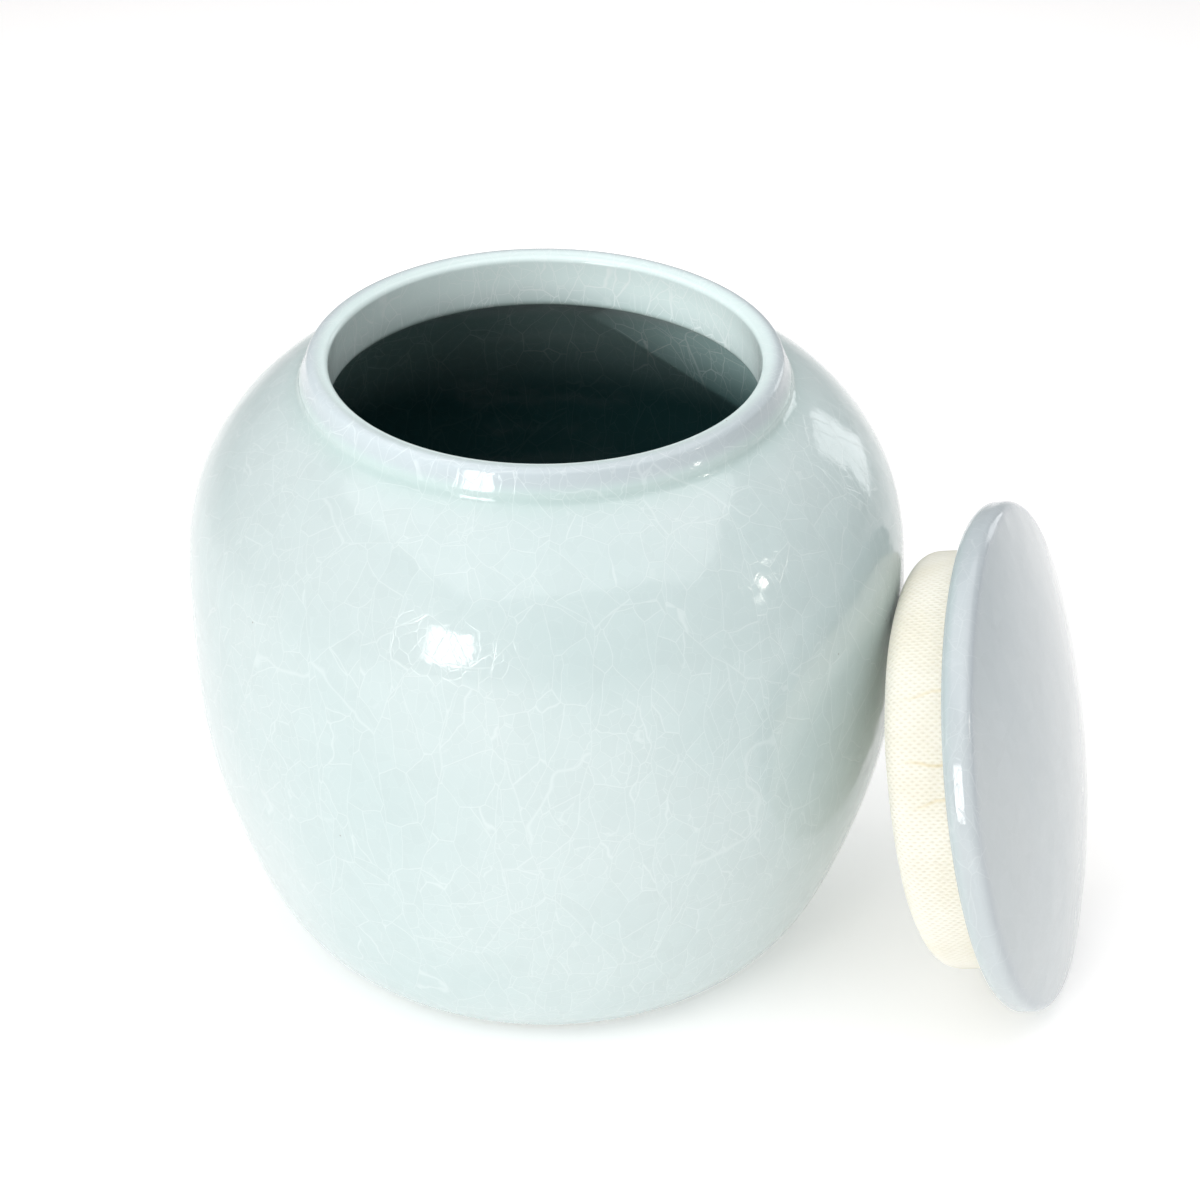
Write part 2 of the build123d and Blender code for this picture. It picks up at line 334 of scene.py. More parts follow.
# ------------------------------------------------------------------ glaze
def celadon(name, base, pale, low, line_gain=1.0, inner=True, face_calm=False):
    """Pale crackled celadon: three generations of crazing, glaze thinner and
    greyer on the edges, greener where it pools, painted shade under the lip and inside the jar."""
    N = Net(name)
    p = N.place_mm()
    l1, c1 = cracks(N, p, 15.0, 0.115, swing=3.0, swing_cell=19.0, stretch=(1, 1, 0.28), seed=1.3)
    l2, c2 = cracks(N, p, 6.2, 0.115, swing=1.1, swing_cell=8.0, stretch=(1, 1, 0.55), seed=4.1, inside=c1)
    l3, c3 = cracks(N, p, 2.7, 0.09, swing=0.4, swing_cell=3.0, stretch=(1, 1, 0.8), seed=7.7, inside=c2)
    patch = N.range(N.noise(p, 0.035, 2.0), 0.40, 0.62)
    fine = N.math("MULTIPLY", l3, N.range(patch, 0.0, 1.0, 0.35, 0.95, "LINEAR"))
    if face_calm:
        calm = N.range(N.attr("face"), 0.0, 1.0, 1.0, 0.22, "LINEAR")
        fine = N.math("MULTIPLY", fine, calm)
        l2 = N.math("MULTIPLY", l2, calm)
        l1 = N.math("MULTIPLY", l1, N.math("MULTIPLY", calm, 0.8))
    line = N.math("MAXIMUM", N.math("MULTIPLY", l1, 0.54), N.math("MAXIMUM", N.math("MULTIPLY", l2, 0.66), N.math("MULTIPLY", fine, 0.62)))
    line = N.math("MULTIPLY", line, line_gain, clamp=True)
    # broad drift of the glaze's depth and the small change from cell to cell
    drift = N.noise(p, 0.018, 3.0, 0.5)
    col = N.mix(N.range(drift, 0.3, 0.7), low, base)
    cell = N.math("ADD", N.math("MULTIPLY", N.sep(c2)[0], 0.5), N.math("MULTIPLY", N.sep(c3)[1], 0.5))
    tone = N.range(cell, 0.0, 1.0, 0.980, 1.02, "LINEAR")
    col = N.vmath("SCALE", col, scale=tone)
    # edges, pools, and painted shade inside the jar
    # pool: greener pooled glaze in the groove under the collar; at the foot of the bore it also stands for painted
    # shade under the lip
    col = N.mix(N.math("MULTIPLY", N.attr("pool"), 0.45), col, (0.43, 0.585, 0.555))
    col = N.mix(N.math("MULTIPLY", N.attr("edge"), 0.60), col, (0.455, 0.505, 0.55))
    if inner:
        col = N.mix(N.math("MULTIPLY", N.attr("bright"), 0.85), col, (0.685, 0.815, 0.80))
        # painted shade: the inside of the jar darkens with depth, and its crack lines fade there
        inner_painted_shade = N.attr("depth")
        col = N.mix(N.math("MULTIPLY", inner_painted_shade, 1.0), N.mix(N.range(inner_painted_shade, 0.0, 0.15), col, (0.40, 0.56, 0.545)), (0.016, 0.052, 0.054))
        line = N.math("MULTIPLY", line, N.range(inner_painted_shade, 0.0, 0.9, 1.0, 0.07, "LINEAR"))
        gain = N.math("MULTIPLY_ADD", N.attr("neck"), 0.36, 0.36)
    else:
        gain = 0.36
    col = N.mix(N.math("MULTIPLY", line, gain), col, pale)
    # pinholes and iron specks
    sp = N.voronoi(N.vmath("SCALE", p, scale=1 / 11.0), "F1", "Distance")
    spot = N.range(sp, 0.010, 0.022, 1.0, 0.0)
    col = N.mix(N.math("MULTIPLY", spot, 0.55), col, (0.16, 0.13, 0.10))
    if inner:
        bare = N.attr("bare")
        grit = N.noise(p, 1.7, 4.0, 0.7)
        clay = N.mix(N.range(grit, 0.35, 0.65), (0.46, 0.335, 0.235), (0.63, 0.52, 0.41))
        col = N.mix(bare, col, clay)
        rough = N.math("MULTIPLY_ADD", N.noise(p, 0.22, 3.0), 0.05, 0.055)
        rough = N.math("ADD", rough, N.math("MULTIPLY", line, 0.05))
        rough = N.math("ADD", rough, N.math("MULTIPLY", bare, 0.62))
    else:
        rough = N.math("MULTIPLY_ADD", N.noise(p, 0.22, 3.0), 0.05, 0.06)
        rough = N.math("ADD", rough, N.math("MULTIPLY", line, 0.05))
    # the glaze's skin: slow swell, fine orange peel, a hair of relief at the cracks
    swell = N.noise(p, 0.11, 2.0, 0.4)
    peel = N.noise(p, 0.75, 2.0, 0.5)
    n1 = N.bump(swell, 0.00050, 0.55)
    n2 = N.bump(peel, 0.00004, 0.55, n1)
    n3 = N.bump(N.math("SUBTRACT", 1.0, line), 0.000028, 0.8, n2)
    N.set(Base_Color=col, Roughness=rough, IOR=1.52, Normal=n3,
          Coat_Weight=0.12, Coat_Roughness=0.03)
    return N.mat


glaze = celadon("celadon_crackle", (0.572, 0.664, 0.662), (0.84, 0.895, 0.89), (0.522, 0.630, 0.628))
glaze_lid = celadon("celadon_lid", (0.515, 0.565, 0.580), (0.74, 0.785, 0.79), (0.475, 0.535, 0.560),
                    line_gain=0.9, inner=False, face_calm=True)


# ------------------------------------------------------------------ the jar
def mm(*q):
    return [tuple(v) for v in q]


W1 = [(41.6, 0), (44.533, 1.488), (47.201, 3.413), (49.584, 5.682), (51.684, 8.216), (53.516, 10.951), (55.117, 13.827),
      (56.534, 16.799), (57.819, 19.83), (59.023, 22.895), (60.176, 25.979), (61.271, 29.084), (62.3, 32.212),
      (63.254, 35.363), (64.125, 38.539), (64.901, 41.738), (65.575, 44.961), (66.138, 48.205), (66.594, 51.466),
      (66.955, 54.739), (67.235, 58.02), (67.446, 61.306), (67.602, 64.595), (67.715, 67.885), (67.797, 71.177),
      (67.854, 74.469), (67.856, 77.762), (67.763, 81.053), (67.533, 84.337), (67.125, 87.604), (66.494, 90.835),
      (65.6, 94.003), (64.417, 97.075), (62.962, 100.027), (61.256, 102.842), (59.321, 105.506), (57.173, 108.0),
      (54.824, 110.306), (52.282, 112.396), (49.554, 114.239), (46.659, 115.803)]
I1 = [(42.3, 110.95), (46.365, 109.755), (50.132, 107.815), (53.485, 105.224), (56.377, 102.124), (58.793, 98.64),
      (60.723, 94.864), (62.144, 90.869), (63.066, 86.729), (63.574, 82.518), (63.771, 78.28), (63.765, 74.037),
      (63.655, 69.795), (63.494, 65.554), (63.267, 61.317), (62.952, 57.086), (62.529, 52.864), (61.975, 48.657),
      (61.272, 44.473), (60.396, 40.321), (59.329, 36.214), (58.051, 32.169), (56.548, 28.201), (54.811, 24.33),
      (52.828, 20.58), (50.546, 17.004), (47.888, 13.7), (44.78, 10.818), (41.189, 8.572), (37.2, 7.15), (33.0, 6.6)]
stretches = [
    ("recess", seg((0, 1.8), (35.4, 1.8), 12)),
    ("recess", arc((35.4, 0.8), 1.0, 90, 0, 6)),
    ("foot", seg((36.4, 0.8), (37.2, 0.0), 3)),
    ("foot", seg((37.2, 0.0), (41.2, 0.0), 6)),
    ("foot", seg((41.2, 0.0), (41.75, 0.22), 3)),
    ("wall", spline([(41.75, 0.22)] + W1[1:], 136)),
    ("groove", arc((47.713, 117.503), 2.0, 238.2, 180, 10)),
    ("collar", arc((44.413, 117.503), 1.3, 0, 28, 6)),
    ("collar", seg((45.560, 118.113), (44.340, 120.409), 9)),
    ("rim", arc((43.104, 119.752), 1.4, 28, 60, 6)),
    ("rim", arc((41.804, 117.5), 4.0, 60, 100, 14)),
    ("rim", arc((41.3, 120.356), 1.1, 100, 180, 10)),
    ("bore", seg((40.2, 120.356), (40.2, 112.6), 14)),
    ("lip", arc3((40.2, 112.6), (40.895, 111.323), (42.3, 110.95), 8)),
    ("inside", spline(I1, 78)),
    ("base", seg((33.0, 6.6), (0, 5.6), 10)),
]
prof, tag = [], []
for label, pts in stretches:
    for q in pts:
        if not prof or math.hypot(q[0] - prof[-1][0], q[1] - prof[-1][1]) > 1e-3:
            prof.append((float(q[0]), float(q[1]))); tag.append(label)
prof = np.array(prof); tag = np.array(tag)
z = prof[:, 1]; r = prof[:, 0]
cavity = np.isin(tag, ["lip", "inside", "base"])
jar_attrs = {
    # depth: painted shade, the inside of the jar darker further down
    "depth": np.where(cavity, smooth(106.0, 79.0, z), 0.0),
    "edge": np.where(np.isin(tag, ["collar", "rim"]), smooth(117.8, 119.6, z) * (1.0 - 0.30 * smooth(42.6, 40.6, r)), 0.0)
            + np.where(tag == "bore", 0.35 * smooth(119.2, 120.4, z), 0.0),
    # pool: glaze pooled in the collar's groove; the bore and lip entry is also painted shade under the lip
    "pool": np.where(np.isin(tag, ["groove", "collar", "wall"]), np.exp(-((z - 116.9) / 1.7) ** 2), 0.0)
            + np.where(np.isin(tag, ["bore", "lip"]), 0.95 * np.exp(-((z - 111.4) / 2.4) ** 2), 0.0),
    "bright": np.where(np.isin(tag, ["bore", "lip", "rim"]), smooth(112.4, 117.5, z) * smooth(43.6, 41.5, r), 0.0),
    "neck": np.where(np.isin(tag, ["bore", "lip"]) | cavity, 1.0, 0.0) * smooth(74.0, 92.0, z),
    "bare": np.where(tag == "foot", 1.0, 0.0) * smooth(0.9, 0.1, z),
}
step = np.r_[0, np.cumsum(np.hypot(*np.diff(prof, axis=0).T) * np.where(np.isin(tag[1:], ["wall", "groove", "collar", "rim", "bore"]), 3.0, 1.0))]
jar_v = step / step[-1]
prof = prof * KJ * MM


def jar_wobble(rr, hh, T):
    """A thrown pot is never quite round: slow ovality, faint throwing rings."""
    g = rr / BELLY_R
    side = (T + np.pi) % (2 * np.pi) - np.pi
    quiet = 1 - 0.7 * np.exp(-(side / 0.55) ** 2)
    dr = MM * g * quiet * (0.15 * np.sin(2 * T + 0.9 + hh * 9) + 0.09 * np.sin(3 * T - 1.1 + hh * 17)
                           + 0.045 * np.sin(5 * T + 2.2 - hh * 31))
    wall = smooth(0.004, 0.02, hh) * smooth(0.112, 0.10, hh)
    dr = dr + MM * 0.022 * quiet * wall * np.sin(hh / MM * 0.74 + 0.8 * np.sin(T + 0.6))
    dh = MM * 0.10 * smooth(0.105, 0.1215, hh) * np.sin(2 * T + 2.6) * 0.8
    # fired rim: a touch proud of the drawn height, its outer shoulder fuller
    dh = dh + MM * 0.45 * smooth(0.1150, 0.1200, hh) + MM * 0.55 * smooth(0.1190, 0.1208, hh) * smooth(0.0412, 0.0434, rr)
    return dr, dh


def jar_place(rr, hh, T):
    return np.stack([AXIS_X + rr * np.cos(T), AXIS_Y + rr * np.sin(T), jar_lo[2] + hh], -1)


jar = lathe("jar_crackle_glazed", prof, 288, jar_place, jar_wobble, jar_attrs, jar_v)
jar.data.materials.append(glaze)
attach(jar, "jar"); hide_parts("jar_body")


# ------------------------------------------------------------------ the lid
DOME_EDGE_R, DOME_EDGE_H, DOME_TOP_H = 46.966, 6.115, 12.715
sag = DOME_TOP_H - DOME_EDGE_H
DOME_R = (DOME_EDGE_R ** 2 + sag ** 2) / (2 * sag)
SEAT_X = lid_hi[0] - DOME_R * MM + (DOME_R - DOME_TOP_H) * math.cos(LEAN) * MM
seat = np.array([SEAT_X, (lid_lo[1] + lid_hi[1]) / 2, SEAT_Z])
LN, LW, LU = (np.array(v) for v in (lid_n, lid_w, lid_u))


def lid_place(rr, hh, T):
    rr = np.asarray(rr); hh = np.asarray(hh); T = np.asarray(T)
    return (seat + hh[..., None] * LN + (rr * np.cos(T))[..., None] * LW + (rr * np.sin(T))[..., None] * LU)


a_end = math.degrees(math.asin(DOME_EDGE_R / DOME_R))
lid_stretches = [
    ("dome", arc((0, DOME_TOP_H - DOME_R), DOME_R, 90, 90 - a_end, 56)),
    ("bead", arc((46.36, 4.0), 2.2, 74, 0, 14)),
    ("bead", seg((48.56, 4.0), (48.56, 2.6), 5)),
    ("bead", arc((45.96, 2.6), 2.6, 0, -90, 16)),
    ("seat", seg((45.96, 0), (34.0, 0), 12)),
    ("spigot", arc3((34.0, 0), (33.25, -0.15), (33.0, -0.6), 5)),
    ("spigot", seg((33.0, -0.6), (33.0, -6.2), 7)),
    ("spigot", arc((32.2, -6.2), 0.8, 0, -90, 5)),
    ("spigot", seg((32.2, -7.0), (29.8, -7.0), 4)),
    ("spigot", arc((29.8, -6.2), 0.8, 270, 180, 5)),
    ("hollow", spline([(29.0, -6.2), (29.0, -2.2), (28.2, 0.2), (24.0, 3.2), (14.0, 5.9), (0.0, 6.6)], 30)),
]
lp, lt = [], []
for label, pts in lid_stretches:
    for q in pts:
        if not lp or math.hypot(q[0] - lp[-1][0], q[1] - lp[-1][1]) > 1e-3:
            lp.append((max(float(q[0]), 0.0), float(q[1]))); lt.append(label)
lp = np.array(lp); lt = np.array(lt)
lp[0, 0] = lp[-1, 0] = 0.0
lid_attrs = {
    "face": np.where(lt == "dome", smooth(46.9, 44.6, lp[:, 0]), 0.0),
    "edge": np.where(np.isin(lt, ["dome", "bead"]), np.exp(-((lp[:, 0] - 47.2) / 0.9) ** 2) * smooth(2.0, 5.4, lp[:, 1]), 0.0) * 0.8,
    "pool": np.where(lt == "bead", np.exp(-((lp[:, 1] - 1.2) / 1.0) ** 2) * 0.35, 0.0),
}
lstep = np.r_[0, np.cumsum(np.hypot(*np.diff(lp, axis=0).T) * np.where(np.isin(lt[1:], ["dome", "bead"]), 2.5, 1.0))]


def lid_wobble(rr, hh, T):
    g = rr / LID_R
    wave = lambda t: 0.10 * np.sin(2 * t + 1.3) + 0.055 * np.sin(3 * t + 0.4)
    dr = MM * g * (wave(T) - wave(np.pi) - 0.16)
    dh = MM * g * 0.10 * np.sin(2 * T + 0.7) * smooth(0.0015, 0.004, hh)
    return np.minimum(dr, 0.02 * MM) * np.where(np.abs(hh) < 0.5 * MM, 0.5, 1.0), dh


lid = lathe("lid_domed_glazed", lp * MM, 320, lid_place, lid_wobble, lid_attrs, lstep / lstep[-1])
lid.data.materials.append(glaze_lid)
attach(lid, "lid"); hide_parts("lid_disc")


# ------------------------------------------------------------------ the padded plug
PITCH_ROWS = 368              # knit rows round the side
COLS = PITCH_ROWS * 4
PLUG_R = 39.87
LAM = 1.65                    # length of one wave along a row

# outer path, from the hem over the side to the end's middle, in mm
top_c, end_c = (38.57, -1.75), (35.27, -8.8)
fine_path = chain(arc(top_c, 1.3, 90, 0, 8), seg((PLUG_R, -1.75), (PLUG_R, -8.8), 22),
                  arc(end_c, 4.6, 0, -90, 24), seg((35.27, -13.4), (34.3, -13.4), 4))
t_all = np.r_[0, np.cumsum(np.hypot(*np.diff(fine_path, axis=0).T))]
RINGS = int(t_all[-1] / 0.345)
ts = np.linspace(0, t_all[-1], RINGS)
fine_path = np.c_[np.interp(ts, t_all, fine_path[:, 0]), np.interp(ts, t_all, fine_path[:, 1])]
tang = np.gradient(fine_path, axis=0)
tang /= np.linalg.norm(tang, axis=1)[:, None]
norm2 = np.c_[-tang[:, 1], tang[:, 0]]
if norm2[len(norm2) // 3, 0] < 0:
    norm2 = -norm2

rnd = random.Random(23)
# creases that run from the lid seam towards the end, (angle, depth, width, length, slant)
tucks = [(-41.0, 0.24, 0.30, 11.2, 0.018), (-59.5, 0.28, 0.32, 11.6, -0.012), (-70.5, 0.24, 0.30, 9.8, 0.02)]
for k in range(26):
    a = rnd.uniform(-180, 180)
    if all(abs((a - q[0] + 180) % 360 - 180) > 7 for q in tucks):
        tucks.append((a, rnd.uniform(0.06, 0.16), rnd.uniform(0.3, 0.5), rnd.uniform(3.5, 8.0), rnd.uniform(-0.02, 0.02)))


def lumps(T, t):
    """Slow unevenness of the stuffing, in mm, never outwards."""
    s = (np.sin(3 * T + 0.7 + 0.10 * t) + np.sin(5 * T + 2.1 - 0.21 * t) + 0.7 * np.sin(9 * T - 0.4 + 0.33 * t)
         + 0.5 * np.sin(14 * T + 1.9)) / 3.2
    return -0.13 * (1 - s)


def creases(T, t):
    d = np.zeros_like(T); m = np.zeros_like(T)
    for ang, depth, width, length, slant in tucks:
        off = (T - math.radians(ang) - slant * np.sin(t * 0.55) + np.pi) % (2 * np.pi) - np.pi
        x = off * PLUG_R / width
        win = smooth(-0.2, 0.8, t) * (1 - smooth(length * 0.45, length, t))
        g = np.exp(-x ** 2) * win
        d -= depth * g
        d += depth * 0.22 * np.exp(-((np.abs(x) - 2.2) / 0.9) ** 2) * win
        m = np.maximum(m, g * min(1.0, (depth / 0.26) ** 2))
    return d, m


verts, groups = [], []
attr_gap_shade, attr_crease_soil_shade, attr_flat = [], [], []
col_i = np.arange(COLS)
row_j = col_i // 4
sub = col_i % 4
frac = np.choose(sub, [0.0, 0.26, 0.5, 0.74])
for i in range(RINGS):
    t = ts[i]
    fade = float(smooth(0.2, 1.3, t) * (1 - smooth(ts[-1] - 1.1, ts[-1], t)))
    psi = 2 * np.pi * t / LAM
    own = np.sin(psi + np.pi * row_j)
    amp = 0.135 * fade
    lat = np.choose(sub, [own, own * 0.72, own * 0.0, -own * 0.72]) * amp
    open_ = 0.5 - 0.5 * own
    radial = np.choose(sub, [np.zeros(COLS), -0.065 - 0.05 * open_, -0.085 - 0.24 * open_, -0.065 - 0.05 * open_]) * fade
    # how far the rows open, used for painted shade in the gaps between them
    gap_shade = np.choose(sub, [np.zeros(COLS), 0.25 * open_ ** 2, open_ ** 1.3, 0.25 * open_ ** 2]) * fade
    ang = (row_j + frac) / PITCH_ROWS * 2 * np.pi + lat / PLUG_R
    base = np.full(COLS, 1.0)
    lum = lumps(ang, t * base) * float(smooth(0.0, 1.5, t))
    cr, cm = creases(ang, t * base)
    off = radial + np.minimum(lum + cr, 0.02)
    rho = fine_path[i, 0] + norm2[i, 0] * off
    hgt = fine_path[i, 1] + norm2[i, 1] * off
    groups.append((len(verts) and sum(len(v) for v in verts), COLS))
    verts.append(lid_place(rho * MM, hgt * MM, ang))
    attr_gap_shade.append(gap_shade); attr_crease_soil_shade.append(cm); attr_flat.append(np.zeros(COLS))


def coarse_ring(rho, hgt, flat=0.0, pleat=0.0, crease_soil_shade=0.0):
    a = np.arange(PITCH_ROWS) / PITCH_ROWS * 2 * np.pi
    hh = hgt - pleat * (0.5 + 0.5 * np.sin(46 * a + 3 * np.sin(5 * a)))
    groups.append((sum(len(v) for v in verts), PITCH_ROWS))
    verts.append(lid_place(np.full(PITCH_ROWS, rho * MM), hh * MM if isinstance(hh, np.ndarray) else np.full(PITCH_ROWS, hgt * MM), a))
    attr_gap_shade.append(np.zeros(PITCH_ROWS)); attr_crease_soil_shade.append(np.full(PITCH_ROWS, crease_soil_shade)); attr_flat.append(np.full(PITCH_ROWS, flat))
    return len(groups) - 1


faces, fuv = [], []


def add_face(idx, uvs):
    faces.append(tuple(idx)); fuv.extend(uvs)


def bridge(ga, gb, va, vb):
    """Quads between two rings of the same count."""
    (sa, n), (sb, _) = groups[ga], groups[gb]
    for j in range(n):
        k = (j + 1) % n
        u0, u1 = j / n, (j + 1) / n
        add_face((sa + j, sa + k, sb + k, sb + j), [(u0, va), (u1, va), (u1, vb), (u0, vb)])


def step_down(ga, gb, va, vb):
    """From a ring of 4n points to a ring of n points."""
    (sa, na), (sb, nb) = groups[ga], groups[gb]
    for j in range(nb):
        k = (j + 1) % nb
        o = [sa + (4 * j + q) % na for q in range(5)]
        u = [(4 * j + q) / na for q in range(5)]
        add_face((sb + j, o[0], o[1]), [(u[0], vb), (u[0], va), (u[1], va)])
        add_face((sb + j, o[1], o[2]), [(u[0], vb), (u[1], va), (u[2], va)])
        add_face((sb + j, o[2], sb + k), [(u[0], vb), (u[2], va), (u[4], vb)])
        add_face((sb + k, o[2], o[3]), [(u[4], vb), (u[2], va), (u[3], va)])
        add_face((sb + k, o[3], o[4]), [(u[4], vb), (u[3], va), (u[4], va)])


V_SIDE0, V_SIDE1 = 0.16, 0.84
for i in range(RINGS - 1):
    bridge(i, i + 1, V_SIDE0 + (V_SIDE1 - V_SIDE0) * i / (RINGS - 1), V_SIDE0 + (V_SIDE1 - V_SIDE0) * (i + 1) / (RINGS - 1))
# end face, slightly crowned inwards to its middle
last = RINGS - 1
v = V_SIDE1
radii = [33.4, 31.5, 29, 26, 23, 20, 17, 14, 11, 8, 5, 2.5, 1.0]
prev = None
for q, rad in enumerate(radii):
    dip = 0.16 * (1 - (rad / 34.0) ** 2)
    g = coarse_ring(rad, -13.4 + dip, flat=float(smooth(34.0, 31.0, rad)))
    vb = V_SIDE1 + 0.08 * (q + 1) / (len(radii) + 1)
    if prev is None:
        step_down(last, g, V_SIDE1, vb)
    else:
        bridge(prev, g, v, vb)
    prev, v = g, vb
pole = sum(len(q) for q in verts)
verts.append(lid_place(np.zeros(1), np.array([(-13.4 + 0.16) * MM]), np.zeros(1)))
attr_gap_shade.append(np.zeros(1)); attr_crease_soil_shade.append(np.zeros(1)); attr_flat.append(np.ones(1))
sa, n = groups[prev]
for j in range(n):
    add_face((pole, sa + j, sa + (j + 1) % n), [((j + 0.5) / n, V_SIDE1 + 0.08), (j / n, v), ((j + 1) / n, v)])
# turned-in hem, pleated towards the gathering thread, then the inside
v = V_SIDE0
prev = None
inner = [(37.8, -0.46, 0.03), (36.6, -0.46, 0.12), (35.4, -0.47, 0.22), (34.6, -0.50, 0.26), (34.3, -0.72, 0.12), (34.3, -1.30, 0.0), (34.5, -1.55, 0.0),
         (36.5, -1.55, 0.0), (38.4, -1.55, 0.0), (38.77, -1.75, 0.0), (38.77, -4.0, 0.0), (38.77, -6.5, 0.0), (38.77, -8.8, 0.0),
         (38.4, -10.4, 0.0), (37.4, -11.6, 0.0), (36.0, -12.2, 0.0), (34.6, -12.3, 0.0), (28, -12.3, 0.0), (20, -12.3, 0.0), (12, -12.3, 0.0), (5, -12.3, 0.0)]
for q, (rad, hgt, pleat) in enumerate(inner):
    # the hem's pleats carry the crease colour: soiling and painted shade
    g = coarse_ring(rad, hgt, pleat=pleat, crease_soil_shade=0.4 if q < 6 else 0.0)
    vb = V_SIDE0 - V_SIDE0 * (q + 1) / (len(inner) + 1)
    if prev is None:
        # the first fine ring steps down to the hem
        step_down(0, g, v, vb)
    else:
        bridge(prev, g, v, vb)
    prev, v = g, vb
pole = sum(len(q) for q in verts)
verts.append(lid_place(np.zeros(1), np.array([-12.3 * MM]), np.zeros(1)))
attr_gap_shade.append(np.zeros(1)); attr_crease_soil_shade.append(np.zeros(1)); attr_flat.append(np.zeros(1))
sa, n = groups[prev]
for j in range(n):
    add_face((pole, sa + j, sa + (j + 1) % n), [((j + 0.5) / n, 0), (j / n, v), ((j + 1) / n, v)])

cover = make("plug_knit_cover_cloth", np.vstack(verts), faces, fuv,
             {"gap_shade": np.concatenate(attr_gap_shade), "crease_soil_shade": np.concatenate(attr_crease_soil_shade), "flat": np.concatenate(attr_flat)})

N = Net("cream_knit")
p = N.place_mm()
fib = N.noise(p, 3.2, 4.0, 0.7)
slow = N.noise(p, 0.09, 2.0, 0.5)
col = N.mix(N.range(slow, 0.3, 0.7), (0.835, 0.805, 0.690), (0.885, 0.865, 0.775))
col = N.mix(N.range(fib, 0.35, 0.75, 0.0, 0.35), col, (0.92, 0.91, 0.855))
# painted shade: darker yellow-brown in the gaps between the knit rows
col = N.mix(N.math("MULTIPLY", N.attr("gap_shade"), 0.52), col, (0.60, 0.55, 0.40))
# yellowed soiling and painted shade along the creases and hem pleats
col = N.mix(N.math("MULTIPLY", N.attr("crease_soil_shade"), 0.45), col, (0.74, 0.62, 0.34))
# the end face is the same cloth lying flat: rows side by side, stitches in brick order
q = N.sep(p)
across = N.math("MULTIPLY", q[1], math.pi / 0.68)
along = N.vmath("DOT_PRODUCT", p, tuple(LW))
brick = N.math("MULTIPLY", N.math("COSINE", across), N.math("COSINE", N.math("MULTIPLY", along, 2 * math.pi / LAM)))
lens = N.math("ABSOLUTE", brick)
# painted shade in the holes between the flat stitches
hole_shade = N.math("MULTIPLY", N.range(lens, 0.45, 0.95), N.attr("flat"))
col = N.mix(N.math("MULTIPLY", hole_shade, 0.5), col, (0.52, 0.46, 0.31))
yarn = N.noise(N.vmath("MULTIPLY", p, (9.0, 9.0, 9.0)), 1.0, 3.0, 0.6)
n1 = N.bump(N.math("SUBTRACT", 1.0, hole_shade), 0.00016, 0.9)
n2 = N.bump(yarn, 0.00006, 0.7, n1)
rough = N.math("MULTIPLY_ADD", fib, 0.12, 0.82)
N.set(Base_Color=col, Roughness=rough, IOR=1.45, Normal=n2, Sheen_Weight=0.25, Sheen_Roughness=0.45, Specular_IOR_Level=0.25)
knit = N.mat
cover.data.materials.append(knit)
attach(cover, "lid"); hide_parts("plug_knit_cover")


# ------------------------------------------------------------------ inside the plug
def foam_wobble(rr, hh, T):
    g = smooth(0.030, 0.038, rr)
    n = np.sin(7 * T + hh * 400) + np.sin(13 * T + 1.2 - hh * 700)
    return -MM * 0.06 * g * (1 + 0.5 * n), np.zeros_like(rr)


foam_prof = chain(seg((0, -12.2), (30, -12.2), 14), seg((30, -12.2), (35.15, -12.2), 4), arc((35.15, -8.72), 3.48, -90, 0, 14),
                  seg((38.63, -8.72), (38.63, -2.6), 12), arc((37.8, -2.6), 0.83, 0, 90, 6), seg((37.8, -1.77), (34.0, -1.77), 6),
                  arc((34.0, -2.5), 0.73, 90, 180, 6), seg((33.27, -2.5), (33.27, -9.0), 12), seg((33.27, -9.0), (0, -9.13), 16))
foam_prof[0, 0] = foam_prof[-1, 0] = 0.0
foam = lathe("plug_foam_cushion", foam_prof * MM, 160, lid_place, foam_wobble)
N = Net("open_cell_foam")
p = N.place_mm()
cells = N.voronoi(N.vmath("SCALE", p, scale=1 / 0.55), "DISTANCE_TO_EDGE")
pore_shade = N.range(cells, 0.02, 0.32)
shade = N.noise(p, 0.3, 3.0)
col = N.mix(N.range(shade, 0.3, 0.7), (0.78, 0.74, 0.58), (0.86, 0.84, 0.72))
# painted shade in the foam's pores
col = N.mix(N.math("MULTIPLY", pore_shade, 0.35), col, (0.52, 0.47, 0.30))
N.set(Base_Color=col, Roughness=N.math("MULTIPLY_ADD", pore_shade, 0.1, 0.85), Normal=N.bump(N.math("SUBTRACT", 1.0, pore_shade), 0.00018, 0.9), Specular_IOR_Level=0.2)
foam.data.materials.append(N.mat)
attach(foam, "lid"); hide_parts("plug_foam_cap")

# the gathering thread: two plies laid round each other
plies_v, plies_f = [], []
SEG, SIDES, TURNS = 900, 8, 118
for ply in range(2):
    a = np.arange(SEG) / SEG * 2 * np.pi
    tw = TURNS * a + ply * np.pi
    cr = 33.57 + 0.17 * np.cos(tw); chh = -1.0 + 0.17 * np.sin(tw)
    s0 = len(plies_v) * SEG * SIDES
    rows = []
    for k in range(SIDES):
        b = 2 * np.pi * k / SIDES
        rows.append(lid_place((cr + 0.20 * math.cos(b)) * MM, (chh + 0.20 * math.sin(b)) * MM, a))
    plies_v.append(np.stack(rows, 1).reshape(-1, 3))
    for i in range(SEG):
        for k in range(SIDES):
            i2, k2 = (i + 1) % SEG, (k + 1) % SIDES
            plies_f.append((s0 + i * SIDES + k, s0 + i * SIDES + k2, s0 + i2 * SIDES + k2, s0 + i2 * SIDES + k))
thread = make("gathering_thread_twisted", np.vstack(plies_v), plies_f)
N = Net("sewing_thread")
p = N.place_mm()
ft = N.noise(p, 6.0, 3.0, 0.7)
